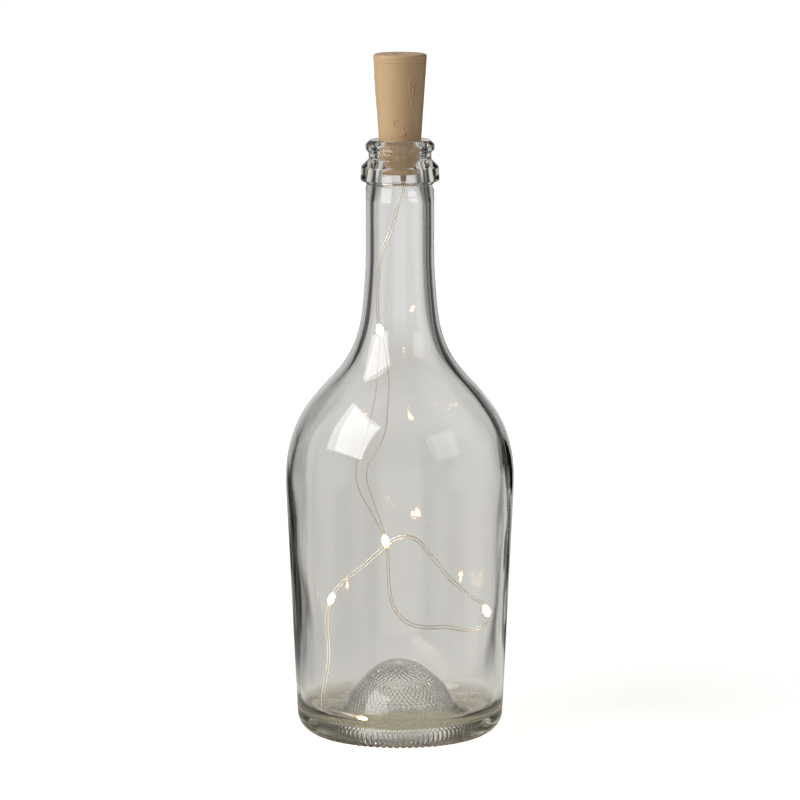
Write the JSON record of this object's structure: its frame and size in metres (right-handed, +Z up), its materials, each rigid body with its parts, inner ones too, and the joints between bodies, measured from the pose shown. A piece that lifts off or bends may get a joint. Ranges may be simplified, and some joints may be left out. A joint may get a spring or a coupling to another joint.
{
  "type": "cork bottle light",
  "caption": "Clear glass bottle with a cork-shaped battery stopper in its mouth and a thin-wire string of small warm lights hanging inside it.",
  "frame": {"origin": "centre of the bottle's foot, on the surface it stands on", "axes": "+Z up along the bottle's axis, -Y towards the picture's camera, +X to its right"},
  "size_m": [0.0964, 0.0964, 0.288],
  "materials": {
    "flint_glass": "clear soda-lime flint glass, fire-polished outside, fine stipple on the foot and punt",
    "cork_plastic": "moulded cork-coloured plastic, satin, with faint drag lines and a raised grain",
    "black_plastic": "moulded black nylon",
    "white_plastic": "moulded white plastic",
    "tinned_metal": "tinned spring wire and sheet",
    "contact_brass": "stamped brass",
    "cell_steel": "drawn nickel-plated steel can",
    "board_laminate": "glass-epoxy laminate with green solder mask",
    "resistor_ceramic": "chip resistor, black coat",
    "gland_rubber": "soft moulded plug",
    "enamelled_copper": "thin copper wire under clear enamel",
    "led_phosphor": "warm white light-emitting chip",
    "clear_resin": "drop of clear resin"
  },
  "bodies": {
    "bottle": {"bottle": "flint_glass"},
    "stopper": {"stopper_shell": "cork_plastic", "battery_sleeve": "white_plastic", "contact_spring": "tinned_metal", "negative_plate": "tinned_metal", "contact_strip": "contact_brass", "wire_gland": "gland_rubber", "inner_leads": "enamelled_copper", "cell_1": "cell_steel", "cell_2": "cell_steel", "cell_3": "cell_steel", "feed_wire": "enamelled_copper", "return_wire": "enamelled_copper", "led_chip_1": "led_phosphor", "led_bead_1": "clear_resin", "led_chip_2": "led_phosphor", "led_bead_2": "clear_resin", "led_chip_3": "led_phosphor", "led_bead_3": "clear_resin", "led_chip_4": "led_phosphor", "led_bead_4": "clear_resin", "led_chip_5": "led_phosphor", "led_bead_5": "clear_resin"},
    "cap": {"top_cap": "cork_plastic", "circuit_board": "board_laminate", "switch_body": "black_plastic", "switch_terminals": "tinned_metal", "positive_contact": "contact_brass", "resistor": "resistor_ceramic"},
    "knob": {"switch_knob": "black_plastic"}
  },
  "joints": [
    {"name": "stopper_pull", "type": "slide", "parent": "bottle", "child": "stopper", "axis": [0, 0, 1], "range_m": [0, 0.018]},
    {"name": "cap_pull", "type": "slide", "parent": "stopper", "child": "cap", "axis": [0, 0, 1], "range_m": [0, 0.005]},
    {"name": "switch_slide", "type": "slide", "parent": "cap", "child": "knob", "axis": [-1, 0, 0], "range_m": [0, 0.002]}
  ]
}
